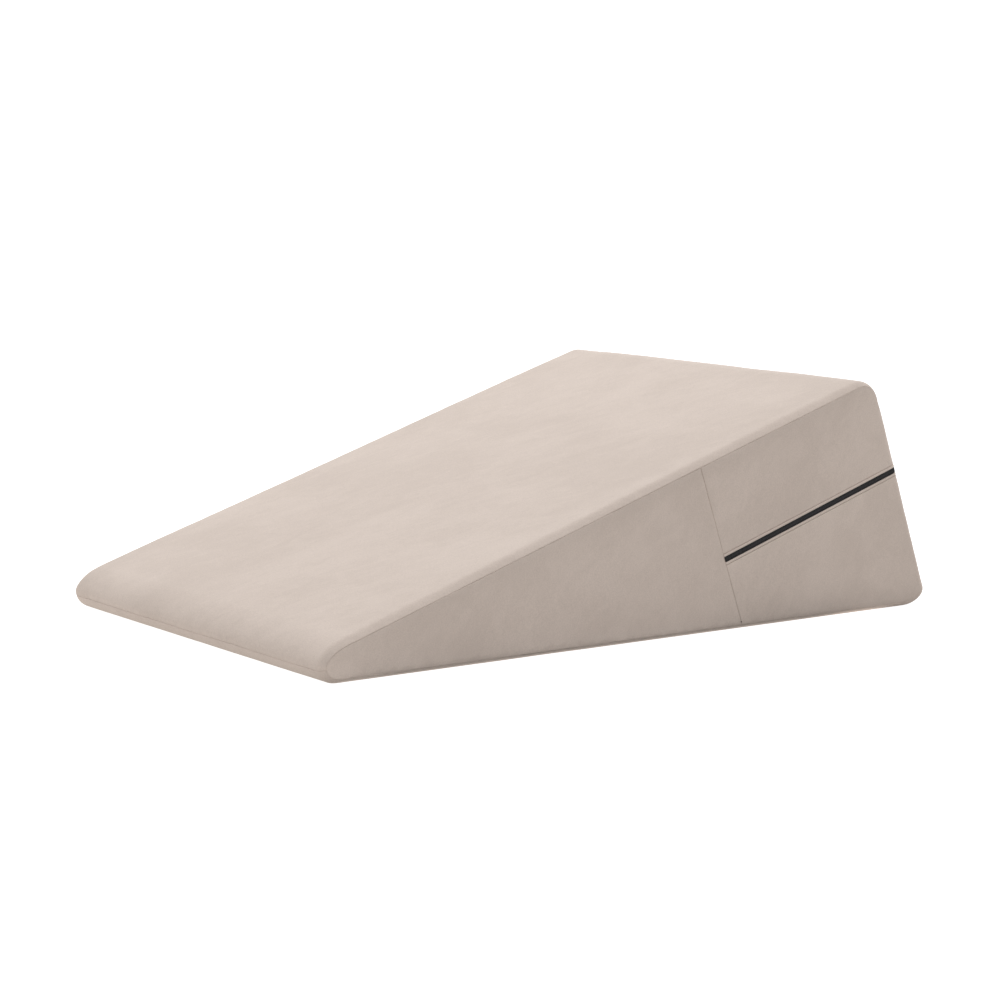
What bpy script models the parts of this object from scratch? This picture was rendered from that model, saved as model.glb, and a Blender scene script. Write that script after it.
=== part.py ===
"""A firm wedge pillow in a sewn cover, with a coil zip round its high back half.

X runs to the right, Y from the thin front edge to the high back, and Z up.
The origin is under the middle of the pillow, on the surface that it rests on.
The filled body is one solid. Its seams are channels in it, and the zip lies in a wider one.
"""
import math

import bmesh
import bpy
from mathutils import Vector

# Outline of the wedge before its edges are rounded, in metres
WIDTH = 0.610
BASE_LENGTH = 0.9146
FRONT_HEIGHT = 0.0381
SLOPE = math.radians(17.9)
BACK_LEAN = math.radians(18.8)
CROWN = 0.004

# Rounded edges
TOP_RADIUS = 0.0297
HEEL_RADIUS = 0.0221
ROLL_RADIUS = 0.012
ROLL_TURN = math.radians(59.8)
WRAP_RADIUS = 0.0096

# Seams: where they run, and the channel that each one draws in
NOSE_SEAM_TURN = math.radians(195)
HEEL_SEAM_TURN = math.radians(-65)
BACK_SEAM_DROP = 0.034
SIDE_SEAM_FOOT = 0.6017
SEAM_HALF_WIDTH = 0.0011
SEAM_DEPTH = 0.0014
FADE = 0.020

# Zip: the slot between its two folded lips, and what lies in it
ZIP_HEIGHT = 0.1992
SLOT_HALF_WIDTH = 0.0031
SLOT_DEPTH = 0.0036
STITCH_FROM_SLOT = 0.0043
STITCH_HALF_WIDTH = 0.0008
TAPE_THICKNESS = 0.0010
COIL_HALF_WIDTH = 0.0023
COIL_HEIGHT = 0.0014
GAP = 0.0003
SLIDER_LENGTH = 0.0105
SLIDER_HALF_WIDTH = 0.0027
SLIDER_RISE = 0.0009
SLIDER_PARK = 0.008
PULL_LENGTH = 0.021
PULL_HALF_WIDTH = 0.0022
PULL_THICKNESS = 0.0011

# Smoothness of the mesh
ROLL_STEPS = 5
WIDTH_STEPS = 10
ARC_STEP = math.radians(11)
RUN_STEP = 0.055

# Colours as linear values
GREIGE = (0.62, 0.53, 0.46, 1)
BLACK = (0.012, 0.012, 0.013, 1)
DARK_METAL = (0.03, 0.03, 0.032, 1)

UP = Vector((0, 0, 1))
RIGHT = Vector((1, 0, 0))


def turn(angle):
    """Unit vector in the side plane: 0 points to the back, 90 degrees up."""
    return Vector((0, math.cos(angle), math.sin(angle)))


def smooth_step(low, high, value):
    t = min(max((value - low) / (high - low), 0), 1)
    return t * t * (3 - 2 * t)


# Side outline. All of it is worked out from the sizes above.
SLOPE_NORMAL = turn(math.pi / 2 + SLOPE)
BACK_NORMAL = turn(BACK_LEAN)
SLOPE_ALONG = turn(SLOPE)
BACK_UP = turn(math.pi / 2 + BACK_LEAN)
NOSE_RADIUS = FRONT_HEIGHT / (1 / math.cos(SLOPE) + 1 - math.tan(SLOPE))
NOSE_CENTRE = Vector((0, NOSE_RADIUS, NOSE_RADIUS))
HEEL_CENTRE = Vector((0, BASE_LENGTH, 0))
HEEL_CENTRE += Vector((0, -HEEL_RADIUS * (1 + math.sin(BACK_LEAN)) / math.cos(BACK_LEAN), HEEL_RADIUS))
MIDDLE = (HEEL_CENTRE.y + HEEL_RADIUS) / 2


def meet(point_a, along_a, point_b, along_b):
    """Where two lines of the side plane cross."""
    cross = along_a.y * along_b.z - along_a.z * along_b.y
    apart = point_b - point_a
    return point_a + along_a * ((apart.y * along_b.z - apart.z * along_b.y) / cross)


SLOPE_START = Vector((0, 0, FRONT_HEIGHT))
HEEL_CORNER = Vector((0, BASE_LENGTH, 0))
TOP_CORNER = meet(SLOPE_START, SLOPE_ALONG, HEEL_CORNER, BACK_UP)
TOP_CENTRE = meet(SLOPE_START - SLOPE_NORMAL * TOP_RADIUS, SLOPE_ALONG,
                  HEEL_CORNER - BACK_NORMAL * TOP_RADIUS, BACK_UP)


def arc(centre, radius, first, last, marks=()):
    """Stations round an arc: place, outward normal and channel depth. Marks are seam angles."""
    steps = max(2, round(abs(last - first) / ARC_STEP))
    angles = [(first + (last - first) * i / steps, 0) for i in range(steps + 1)]
    half = SEAM_HALF_WIDTH / radius
    for mark in marks:
        angles = [a for a in angles if abs(a[0] - mark) > 2 * half]
        angles += [(mark - half, 0), (mark, SEAM_DEPTH), (mark + half, 0)]
    angles.sort(key=lambda a: a[0], reverse=last < first)
    return [(centre + turn(a) * radius, turn(a), depth) for a, depth in angles]


def run(start, end, normal, marks=()):
    """Stations along a straight stretch, without its ends. Marks are seam distances."""
    length = (end - start).length
    steps = max(2, round(length / RUN_STEP))
    places = [(length * i / steps, 0) for i in range(1, steps)]
    for mark in marks:
        places = [p for p in places if abs(p[0] - mark) > 3 * SEAM_HALF_WIDTH]
        places += [(mark - SEAM_HALF_WIDTH, 0), (mark, SEAM_DEPTH), (mark + SEAM_HALF_WIDTH, 0)]
    places.sort()
    along = (end - start) / length
    return [(start + along * p, normal, depth) for p, depth in places]


def outline():
    """Stations round the side outline, from the foot of the nose over the slope to the base."""
    full = 2 * math.pi
    slope_turn = math.pi / 2 + SLOPE
    nose = arc(NOSE_CENTRE, NOSE_RADIUS, full * 3 / 4, slope_turn, [NOSE_SEAM_TURN])
    top = arc(TOP_CENTRE, TOP_RADIUS, slope_turn, BACK_LEAN)
    heel = arc(HEEL_CENTRE, HEEL_RADIUS, BACK_LEAN, -full / 4, [HEEL_SEAM_TURN])
    back_seam = BACK_SEAM_DROP - (TOP_CORNER - top[-1][0]).length
    slope = run(nose[-1][0], top[0][0], SLOPE_NORMAL)
    back = run(top[-1][0], heel[0][0], BACK_NORMAL, [back_seam])
    base = run(heel[-1][0], nose[0][0], -UP)
    return nose + slope + top + back + heel + base


def sewn(place):
    """1 where the side edge is a sewn roll, 0 where the band wraps round the back."""
    below_seam = (TOP_CORNER - place).dot(BACK_UP) - BACK_SEAM_DROP
    above_heel = place.z - HEEL_RADIUS * (1 + math.sin(HEEL_SEAM_TURN))
    on_back = smooth_step(-FADE, 0, (place - HEEL_CENTRE).dot(BACK_NORMAL) - HEEL_RADIUS * 0.2)
    wrap = smooth_step(0, FADE, below_seam) * smooth_step(0, FADE, above_heel) * on_back
    return 1 - wrap


def edge_section(weight):
    """From the flat of the pillow round its side edge: distance in from the side, and inset."""
    last_turn = ROLL_TURN - SEAM_HALF_WIDTH / ROLL_RADIUS
    roll = []
    for i in range(ROLL_STEPS + 1):
        angle = last_turn * i / ROLL_STEPS
        side = ROLL_RADIUS * (math.sin(ROLL_TURN) - math.sin(angle))
        roll.append((side, ROLL_RADIUS * (1 - math.cos(angle))))
    seam = ROLL_RADIUS * (1 - math.cos(ROLL_TURN))
    roll.append((SEAM_DEPTH, seam + SEAM_HALF_WIDTH / 4))
    roll.append((0, seam + SEAM_HALF_WIDTH))
    section = []
    for i, (side, inset) in enumerate(roll):
        angle = math.pi / 2 * i / (len(roll) - 1)
        plain = (WRAP_RADIUS * (1 - math.sin(angle)), WRAP_RADIUS * (1 - math.cos(angle)))
        section.append((plain[0] + (side - plain[0]) * weight, plain[1] + (inset - plain[1]) * weight))
    return section


def crown(place, normal, x):
    """Rise of the filled slope above its flat plane."""
    if (normal - SLOPE_NORMAL).length > 0.001:
        return 0
    length = (TOP_CORNER - SLOPE_START).length
    along = (place - SLOPE_START).dot(SLOPE_ALONG) / length
    across = 2 * x / WIDTH
    return CROWN * (1 - across * across) * 4 * along * (1 - along)


def material(name, colour, roughness, metallic=0.0):
    made = bpy.data.materials.new(name)
    made.use_nodes = True
    shader = made.node_tree.nodes["Principled BSDF"]
    shader.inputs["Base Color"].default_value = colour
    shader.inputs["Roughness"].default_value = roughness
    shader.inputs["Metallic"].default_value = metallic
    made.diffuse_color = colour
    return made


def add_object(name, bm, look=None):
    """Object from a closed bmesh, shifted so that the pillow's middle is the origin."""
    bmesh.ops.translate(bm, verts=bm.verts, vec=Vector((0, -MIDDLE, 0)))
    bmesh.ops.recalc_face_normals(bm, faces=bm.faces)
    mesh = bpy.data.meshes.new(name)
    bm.to_mesh(mesh)
    bm.free()
    made = bpy.data.objects.new(name, mesh)
    bpy.context.scene.collection.objects.link(made)
    if look:
        mesh.materials.append(look)
        mesh.shade_smooth()
        mesh.set_sharp_from_angle(angle=math.radians(35))
    else:
        made.display_type = "WIRE"
        made.hide_render = True
    return made


def cushion_body(look):
    """The filled solid: a ring of stations swept across the width, with flat side faces."""
    bm = bmesh.new()
    columns = []
    for place, normal, depth in outline():
        edge = edge_section(sewn(place))
        flat = WIDTH / 2 - edge[0][0]
        middle = [(flat * (2 * i / WIDTH_STEPS - 1), 0) for i in range(1, WIDTH_STEPS)]
        left = [(side - WIDTH / 2, inset) for side, inset in reversed(edge)]
        right = [(WIDTH / 2 - side, inset) for side, inset in edge]
        column = []
        for x, inset in left + middle + right:
            rise = crown(place, normal, x) - inset - depth
            column.append(bm.verts.new(place + normal * rise + RIGHT * x))
        columns.append(column)
    for i, column in enumerate(columns):
        following = columns[(i + 1) % len(columns)]
        for j in range(len(column) - 1):
            bm.faces.new((column[j], column[j + 1], following[j + 1], following[j]))
    bm.faces.new([column[0] for column in columns])
    bm.faces.new([column[-1] for column in columns])
    return add_object("cushion", bm, look)


def zip_frames(across=0.0):
    """Frames along the zip, from the right upright seam round the back to the left one.

    Each frame is a place on the cover, the direction across the zip and the outward normal.
    """
    side_up = SLOPE_NORMAL
    line = Vector((0, BASE_LENGTH, ZIP_HEIGHT))
    seam_foot = Vector((0, SIDE_SEAM_FOOT, 0))
    first = meet(line + side_up * across, SLOPE_ALONG, seam_foot, BACK_UP)
    edge_line = HEEL_CORNER - BACK_NORMAL * WRAP_RADIUS
    corner = meet(line + side_up * across, SLOPE_ALONG, edge_line, BACK_UP)
    frames = [(first + RIGHT * WIDTH / 2, side_up, RIGHT)]
    centre = corner + RIGHT * (WIDTH / 2 - WRAP_RADIUS)
    steps = ROLL_STEPS + 2
    for i in range(steps + 1):
        angle = math.pi / 2 * i / steps
        normal = RIGHT * math.cos(angle) + BACK_NORMAL * math.sin(angle)
        frames.append((centre + normal * WRAP_RADIUS, BACK_UP, normal))
    mirror = Vector((-1, 1, 1))
    frames += [(place * mirror, up * mirror, normal * mirror) for place, up, normal in reversed(frames)]
    return frames


def sweep(bm, frames, section):
    """Closed solid with one section, given as across and out distances, along all frames."""
    rings = []
    for place, up, normal in frames:
        rings.append([bm.verts.new(place + up * across + normal * out) for across, out in section])
    for ring, following in zip(rings, rings[1:]):
        for i in range(len(section)):
            j = (i + 1) % len(section)
            bm.faces.new((ring[i], ring[j], following[j], following[i]))
    bm.faces.new(rings[0])
    bm.faces.new(rings[-1])


def bar(half_width, low, high, bevel=0.0):
    """Section of a flat bar between two heights, with its upper corners cut off."""
    return [(-half_width, low), (half_width, low), (half_width, high - bevel)] + (
        [(half_width - bevel, high), (bevel - half_width, high)] if bevel else []) + [
        (-half_width, high - bevel)]


def groove(width, depth):
    return [(-width, 0), (0, -depth), (width, 0), (0, depth)]


def zip_slot(bm):
    """Slot between the two folded lips of the cover."""
    sweep(bm, zip_frames(), bar(SLOT_HALF_WIDTH, -SLOT_DEPTH, SLOT_DEPTH))


def stitch_lines(bm):
    """One pressed-in line of top stitching on each lip."""
    for side in (-1, 1):
        frames = zip_frames(side * (SLOT_HALF_WIDTH + STITCH_FROM_SLOT))
        sweep(bm, frames, groove(STITCH_HALF_WIDTH, STITCH_HALF_WIDTH))


def side_seams(bm):
    """The upright seam of each side, between the base seam and the slope seam."""
    inset = ROLL_RADIUS * (1 - math.cos(ROLL_TURN))
    foot = Vector((0, SIDE_SEAM_FOOT, 0))
    low = meet(UP * inset, turn(0), foot, BACK_UP)
    high = meet(SLOPE_START - SLOPE_NORMAL * inset, SLOPE_ALONG, foot, BACK_UP)
    for side in (-RIGHT, RIGHT):
        frames = [(place + side * WIDTH / 2, BACK_NORMAL, side) for place in (low, high)]
        sweep(bm, frames, groove(SEAM_HALF_WIDTH, SEAM_DEPTH))


def cut_channels(body):
    """Cut the slot, the stitch lines and the side seams out of the filled solid, all at once."""
    bm = bmesh.new()
    zip_slot(bm)
    stitch_lines(bm)
    side_seams(bm)
    modifier = body.modifiers.new("channels", "BOOLEAN")
    modifier.operation = "DIFFERENCE"
    modifier.solver = "EXACT"
    modifier.use_self = True
    modifier.object = add_object("channel_cutter", bm)


def zip_tape(look):
    bm = bmesh.new()
    floor = GAP - SLOT_DEPTH
    frames = shortened(zip_frames(), GAP)
    sweep(bm, frames, bar(SLOT_HALF_WIDTH - GAP, floor, floor + TAPE_THICKNESS))
    return add_object("zip_tape", bm, look)


def coil_heights():
    low = 2 * GAP - SLOT_DEPTH + TAPE_THICKNESS
    return low, low + COIL_HEIGHT


def zip_coil(look):
    bm = bmesh.new()
    low, high = coil_heights()
    frames = shortened(zip_frames(), 2 * GAP)
    sweep(bm, frames, bar(COIL_HALF_WIDTH, low, high, COIL_HEIGHT / 3))
    return add_object("zip_coil", bm, look)


def shortened(frames, end_gap):
    """The same frames with both ends moved in."""
    first, second = frames[0], frames[1]
    last, before = frames[-1], frames[-2]
    start = first[0] + (second[0] - first[0]).normalized() * end_gap
    end = last[0] + (before[0] - last[0]).normalized() * end_gap
    return [(start, *first[1:])] + frames[1:-1] + [(end, *last[1:])]


def slider_frames(start, length):
    """Two frames on the left side, measured from the closed end of the zip towards the back."""
    frames = zip_frames()
    place, up, normal = frames[-1]
    along = (frames[-2][0] - place).normalized()
    return [(place + along * start, up, normal), (place + along * (start + length), up, normal)]


def zip_slider(look):
    """Slider with a raised bridge that the pull hangs from."""
    bm = bmesh.new()
    low = coil_heights()[1] + GAP
    sweep(bm, slider_frames(SLIDER_PARK, SLIDER_LENGTH),
          bar(SLIDER_HALF_WIDTH, low, SLIDER_RISE, SLIDER_RISE / 2))
    return add_object("zip_slider", bm, look)


def zip_pull(look):
    """Flat pull that lies along the zip, on the slider and the lips behind it."""
    bm = bmesh.new()
    low = SLIDER_RISE + GAP
    sweep(bm, slider_frames(SLIDER_PARK + SLIDER_LENGTH / 3, PULL_LENGTH),
          bar(PULL_HALF_WIDTH, low, low + PULL_THICKNESS, PULL_THICKNESS / 3))
    return add_object("zip_pull", bm, look)


def main():
    for old in list(bpy.data.objects):
        bpy.data.objects.remove(old, do_unlink=True)
    suede = material("suede", GREIGE, 0.85)
    body = cushion_body(suede)
    cut_channels(body)
    zip_tape(material("tape", BLACK, 0.8))
    zip_coil(material("coil", BLACK, 0.45))
    metal = material("dark_metal", DARK_METAL, 0.4, 0.9)
    zip_slider(metal)
    zip_pull(metal)


main()
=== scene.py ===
"""A firm wedge pillow in a brushed suede cover with a black coil zip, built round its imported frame.

The cover is one closed surface whose panels meet in sewn channels. Distances are metres.
"""
import math

import bmesh
import bpy
from bpy.props import FloatProperty, FloatVectorProperty, PointerProperty
from mathutils import Matrix, Vector, kdtree, noise
from mathutils.geometry import delaunay_2d_cdt


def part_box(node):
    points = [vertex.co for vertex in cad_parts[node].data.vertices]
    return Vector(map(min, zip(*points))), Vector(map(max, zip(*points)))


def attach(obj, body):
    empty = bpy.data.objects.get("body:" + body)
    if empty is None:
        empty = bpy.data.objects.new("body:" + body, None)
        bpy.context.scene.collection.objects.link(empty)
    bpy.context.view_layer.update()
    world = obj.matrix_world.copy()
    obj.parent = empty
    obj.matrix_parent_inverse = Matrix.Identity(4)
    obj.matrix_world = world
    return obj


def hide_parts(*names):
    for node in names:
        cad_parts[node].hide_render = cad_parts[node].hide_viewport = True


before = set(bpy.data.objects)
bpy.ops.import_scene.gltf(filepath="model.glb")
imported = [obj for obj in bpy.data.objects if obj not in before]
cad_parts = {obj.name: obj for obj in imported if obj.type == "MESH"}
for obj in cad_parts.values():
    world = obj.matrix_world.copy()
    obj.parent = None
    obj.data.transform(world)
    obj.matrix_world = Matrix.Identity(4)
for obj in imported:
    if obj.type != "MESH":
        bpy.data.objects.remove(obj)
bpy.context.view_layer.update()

bl_info = {
    "name": "Wedge pillow",
    "version": (1, 0, 0),
    "blender": (4, 5, 0),
    "location": "3D View > Sidebar > Wedge pillow",
    "description": "Builds a sewn wedge pillow with a coil zip, and a plain studio round it",
    "category": "Add Mesh",
}

CUSHION_LOW, CUSHION_HIGH = (Vector(corner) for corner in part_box("cushion"))
WIDTH = CUSHION_HIGH.x - CUSHION_LOW.x
LENGTH = CUSHION_HIGH.y - CUSHION_LOW.y

MM = 0.001
UP = Vector((0, 0, 1))
RIGHT = Vector((1, 0, 0))
FULL_TURN = 2 * math.pi

# Panels of the cover, as the suede's panel attribute numbers them
TOP, BOTTOM, RIGHT_GUSSET, LEFT_GUSSET, UPPER_BAND, LOWER_BAND = range(6)

# Heights of the studio's floor and of the card under it
FLOOR_HEIGHT = -0.2 * MM
CARD_HEIGHT = -0.012

# From the left end of the zip to the middle of its slider
SLIDER_WAY = 0.0133

# Rows of points over a rolled side edge, before its seam
ROLL_STEPS = 10

# Across one lip of the zip, in millimetres: distance from its middle, and height of the cover there
LIP_SHAPE = [
    (0.0, -2.2), (3.5, -2.2), (3.57, -1.2), (3.64, -0.6), (3.85, -0.1), (4.3, 0.22), (5.0, 0.34),
    (5.8, 0.28), (6.45, 0.05), (6.85, -0.3), (7.1, -0.9), (7.3, -1.15), (7.5, -0.9), (7.75, -0.3),
    (8.2, -0.05), (9.0, 0.05), (11.0, 0.0),
]


def length_of(name, description, default):
    return FloatProperty(name=name, description=description, default=default,
                         unit="LENGTH", subtype="DISTANCE", precision=5)


def angle_of(name, description, degrees):
    return FloatProperty(name=name, description=description, default=math.radians(degrees),
                         subtype="ANGLE")


def colour_of(name, description, default):
    return FloatVectorProperty(name=name, description=description, default=default,
                               subtype="COLOR", size=3, min=0, max=1)


def number_of(name, description, default):
    return FloatProperty(name=name, description=description, default=default)


def place_of(name, description, default):
    return FloatVectorProperty(name=name, description=description, default=default,
                               unit="LENGTH", subtype="TRANSLATION")


class CoverSizes(bpy.types.PropertyGroup):
    """Shape of the wedge and of its sewn edges."""

    base_length: length_of("Base length", "Underside before its ends are rounded", 0.9146)
    front_height: length_of("Front height", "Height of the slope's line at the front end", 0.0381)
    slope: angle_of("Slope", "Rise of the top panel", 17.9)
    back_lean: angle_of("Back lean", "Lean of the back face towards the front", 18.8)
    crown: length_of("Crown", "Rise of the filled top in its middle", 0.004)
    nose_base: length_of("Nose on base", "Length of the nose's round along the base", 0.0238)
    nose_height: length_of("Nose height", "Height of the foremost line", 0.0216)
    nose_slope: length_of("Nose on slope", "Length of the nose's round along the slope", 0.034)
    top_round: length_of("Top round", "Length of the high back edge's round on each face", 0.0289)
    heel_back: length_of("Heel on back", "Length of the low back edge's round up the back", 0.0267)
    heel_base: length_of("Heel on base", "Length of the low back edge's round along the base", 0.0395)
    roll_width: length_of("Roll width", "Width of the rolled side edges, up to their seam", 0.0125)
    roll_drop: length_of("Roll drop", "Depth of the rolled side edges at their seam", 0.00596)
    roll_bend: number_of("Roll bend", "How early the edge bends, 1 for an even round", 1.8)
    wrap_radius: length_of("Wrap radius", "Round of the upright back edges", 0.0096)
    nose_seam_turn: angle_of("Nose seam", "Place of the seam round the thin front edge", 195)
    heel_seam_turn: angle_of("Heel seam", "Place of the seam round the low back edge", -65)
    back_seam_drop: length_of("Back seam drop", "From the top corner down to the back seam", 0.034)
    side_seam_foot: length_of("Side seam foot", "From the front to the foot of the upright seams", 0.6017)
    seam_round: length_of("Seam round", "Width of cloth that turns into a seam", 0.0017)
    lip_round: length_of("Gusset seam round", "Width of the side's cloth that turns into its seam", 0.0008)
    seam_depth: length_of("Seam depth", "How deep a seam draws in", 0.0016)
    nose_share: number_of("Nose seam share", "Depth of the nose seam beside the others", 0.6)
    gather: length_of("Gather", "Height of the small puckers beside the seams", 0.00035)
    plump: length_of("Plump", "Rise of the top panel just inside its rolled edges", 0.0012)
    top_crown: length_of("Top crown", "Rise of the high back edge in its middle", 0.0009)
    front_fill: length_of("Front fill", "Rise of the top panel behind the nose", 0.0014)
    front_reach: length_of("Front reach", "From the nose seam to the middle of that rise", 0.11)
    lumps: length_of("Lumps", "Height of the slow unevenness of the filling", 0.0005)
    step: length_of("Mesh step", "Spacing of the cover's points", 0.005)


class ZipSizes(bpy.types.PropertyGroup):
    """Zip, top stitching, slider and pull."""

    height: length_of("Zip height", "Height of the zip's line at the back end of the base", 0.1992)
    stitch_offset: length_of("Stitch offset", "From the middle of the zip to its top stitching", 0.0073)
    stitch_pitch: length_of("Stitch pitch", "From one stitch to the next", 0.0032)
    stitch_length: length_of("Stitch length", "Thread that shows in one stitch", 0.0025)
    thread: length_of("Thread", "Diameter of the thread", 0.0005)
    tooth_pitch: length_of("Tooth pitch", "From one turn of the coil to the next, on the other side", 0.0008)
    wire: length_of("Coil wire", "Diameter of the coil's nylon", 0.0007)


class Colours(bpy.types.PropertyGroup):
    """Colours of the cover, the zip and the studio."""

    suede: colour_of("Suede", "Cover with its nap at rest", (0.582, 0.496, 0.440))
    nap: colour_of("Brushed nap", "Cover where its nap is brushed up", (0.634, 0.543, 0.484))
    thread: colour_of("Thread", "Sewing thread", (0.46, 0.38, 0.32))
    knot: colour_of("Knot", "Thread ends of the upright seams", (0.035, 0.02, 0.016))
    tape: colour_of("Tape", "Zip tape", (0.024, 0.024, 0.025))
    coil: colour_of("Coil", "Zip coil", (0.034, 0.034, 0.036))
    metal: colour_of("Metal", "Slider and pull", (0.1, 0.1, 0.105))
    floor: colour_of("Floor", "Studio floor", (0.4, 0.4, 0.4))
    card: colour_of("Bounce card", "Surface that lights the pillow from below", (0.49, 0.475, 0.46))
    bounce: colour_of("Bounce light", "Light of the card itself", (1.0, 0.96, 0.92))


class StageSizes(bpy.types.PropertyGroup):
    """Camera and light."""

    camera_place: place_of("Camera", "Place of the camera", (2.8022, -1.9678, 0.6124))
    camera_turn: angle_of("Camera turn", "Heading of the camera, from +Y towards -X", 54.922)
    camera_drop: angle_of("Camera drop", "How far the camera looks down", 7.908)
    lens: number_of("Lens", "Focal length for a 36 mm sensor", 97.63)
    lamp_place: place_of("Overhead place", "Place of the overhead light", (-1.05, 0.45, 1.05))
    overhead: number_of("Overhead", "Power of the overhead light, W", 3.8)
    front_glow: number_of("Front glow", "Light of the card close to the nose", 0.88)
    under_glow: number_of("Under glow", "Light of the card below the pillow", 1.45)
    walls: number_of("Walls", "Brightness of the room's walls", 1.0)
    left_share: number_of("Left share", "How much brighter the room is on the left", 0.19)
    back_share: number_of("Back share", "How much brighter the room is at the back", 0.34)
    ceiling: number_of("Ceiling", "Brightness of the room overhead", 1.09)
    glow: number_of("Floor glow", "Light of the floor itself", 0.95)


def smooth_step(low, high, value):
    t = min(max((value - low) / (high - low), 0), 1)
    return t * t * (3 - 2 * t)


def turn(angle):
    """Unit vector in the side plane: 0 points to the back, 90 degrees up."""
    return Vector((0, math.cos(angle), math.sin(angle)))


def meet(point_a, along_a, point_b, along_b):
    """Where two lines of the side plane cross."""
    cross = along_a.y * along_b.z - along_a.z * along_b.y
    apart = point_b - point_a
    return point_a + along_a * ((apart.y * along_b.z - apart.z * along_b.y) / cross)


def wobble(u, v, scale, seed):
    """Smooth noise from about -1 to 1, whose bumps are about scale apart."""
    return 2 * noise.noise(Vector((u / scale, v / scale, seed)))


def nearest(values, value):
    """Index of the entry in values that is nearest to value."""
    return min(range(len(values)), key=lambda i: abs(values[i] - value))


class Corner:
    """Rounded corner of the side outline, as closely spaced places with their outward normals."""

    def __init__(self, start, corner, end, samples=300):
        self.places = []
        self.angles = []
        self.ways = [0.0]
        for i in range(samples + 1):
            t = math.pi / 2 * i / samples
            place = corner + (start - corner) * (1 - math.sin(t)) + (end - corner) * (1 - math.cos(t))
            along = (end - corner) * math.sin(t) - (start - corner) * math.cos(t)
            angle = math.atan2(along.y, -along.z) % FULL_TURN
            if self.places:
                self.ways.append(self.ways[-1] + (place - self.places[-1]).length)
                angle = self.angles[-1] - (self.angles[-1] - angle) % FULL_TURN
            self.places.append(place)
            self.angles.append(angle)

    def stations(self, turn_step, rows=(), seam_angle=None):
        """Stations at even steps of turning, with a seam's rows where the normal has its angle."""
        count = max(2, round((self.angles[0] - self.angles[-1]) / turn_step))
        picked = [nearest(self.angles, self.angles[0] + (self.angles[-1] - self.angles[0]) * i / count)
                  for i in range(count + 1)]
        picked = [(self.ways[i], 0.0) for i in picked]
        if seam_angle is not None:
            middle = self.ways[nearest(self.angles, seam_angle)]
            reach = 1.4 * rows[-1][0]
            picked = [p for p in picked if abs(p[0] - middle) > reach]
            picked = sorted(picked + [(middle + along, depth) for along, depth in rows])
        made = []
        for way, depth in picked:
            i = min(max(nearest(self.ways, way), 1), len(self.ways) - 2)
            share = (way - self.ways[i - 1]) / (self.ways[i + 1] - self.ways[i - 1])
            place = self.places[i - 1].lerp(self.places[i + 1], share)
            angle = self.angles[i - 1] + (self.angles[i + 1] - self.angles[i - 1]) * share
            made.append(Station(place, turn(angle), depth))
        return made


class Wedge:
    """Lines and corners of the wedge in the side plane, worked out from its sizes."""

    def __init__(self, sizes, zipper):
        self.sizes = sizes
        self.slope_normal = turn(math.pi / 2 + sizes.slope)
        self.back_normal = turn(sizes.back_lean)
        self.slope_along = turn(sizes.slope)
        self.back_up = turn(math.pi / 2 + sizes.back_lean)
        front = CUSHION_LOW.y
        self.slope_start = Vector((0, front, sizes.front_height))
        self.heel_corner = Vector((0, front + sizes.base_length, 0))
        self.top_corner = meet(self.slope_start, self.slope_along, self.heel_corner, self.back_up)
        self.slope_length = (self.top_corner - self.slope_start).length
        front_tip = Vector((0, front, sizes.nose_height))
        self.nose_low = Corner(Vector((0, front + sizes.nose_base, 0)), Vector((0, front, 0)), front_tip)
        self.nose_high = Corner(front_tip, self.slope_start,
                                self.slope_start + self.slope_along * sizes.nose_slope)
        self.top = Corner(self.top_corner - self.slope_along * sizes.top_round, self.top_corner,
                          self.top_corner - self.back_up * sizes.top_round)
        self.heel = Corner(self.heel_corner + self.back_up * sizes.heel_back, self.heel_corner,
                           self.heel_corner - turn(0) * sizes.heel_base)
        self.heel_seam_place = self.heel.places[nearest(self.heel.angles, sizes.heel_seam_turn)]
        self.rim = sizes.roll_drop + sizes.lip_round
        self.roll = roll_section(sizes)
        self.seam_foot = Vector((0, front + sizes.side_seam_foot, 0))
        self.zip_line = Vector((0, self.heel_corner.y, zipper.height))
        self.back_edge = self.heel_corner - self.back_normal * sizes.wrap_radius
        self.zip_corner = meet(self.zip_line, self.slope_along, self.back_edge, self.back_up)

    def seam_rows(self):
        """Rows of points into a seam from each side: distance along the cloth, and depth."""
        near = [(self.sizes.seam_round * (1 - t) ** 2, self.sizes.seam_depth * t * t)
                for t in (0, 0.25, 0.5, 0.75)]
        return [(-d, depth) for d, depth in near] + [(0, self.sizes.seam_depth)] + near[::-1]

    def zip_rows(self):
        """Distances across the zip that need their own points."""
        near = [MM * u for u, height in LIP_SHAPE]
        return [-u for u in near[:0:-1]] + near


def lip_height(across):
    """Height of the cover beside the zip, where across is the distance from the zip's middle."""
    u = abs(across) / MM
    for (u0, h0), (u1, h1) in zip(LIP_SHAPE, LIP_SHAPE[1:]):
        if u <= u1:
            return MM * (h0 + (h1 - h0) * (u - u0) / (u1 - u0))
    return 0.0


class Station:
    """One place on the side outline: its outward normal, seam depth, panel and way from the nose seam."""

    def __init__(self, place, normal, depth=0.0):
        self.place = place
        self.normal = normal
        self.depth = depth
        self.panel = TOP
        self.way = 0.0


def run_stations(start, end, normal, step, extra=()):
    """Stations along a straight stretch, without its ends. Extra are (distance, depth) pairs."""
    length = (end - start).length
    count = max(2, round(length / step))
    places = [(length * i / count, 0) for i in range(1, count)]
    for distance, depth in extra:
        places = [p for p in places if abs(p[0] - distance) > 0.35 * step]
    places = sorted(places + list(extra))
    along = (end - start) / length
    return [Station(start + along * p, normal, depth) for p, depth in places]


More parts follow.
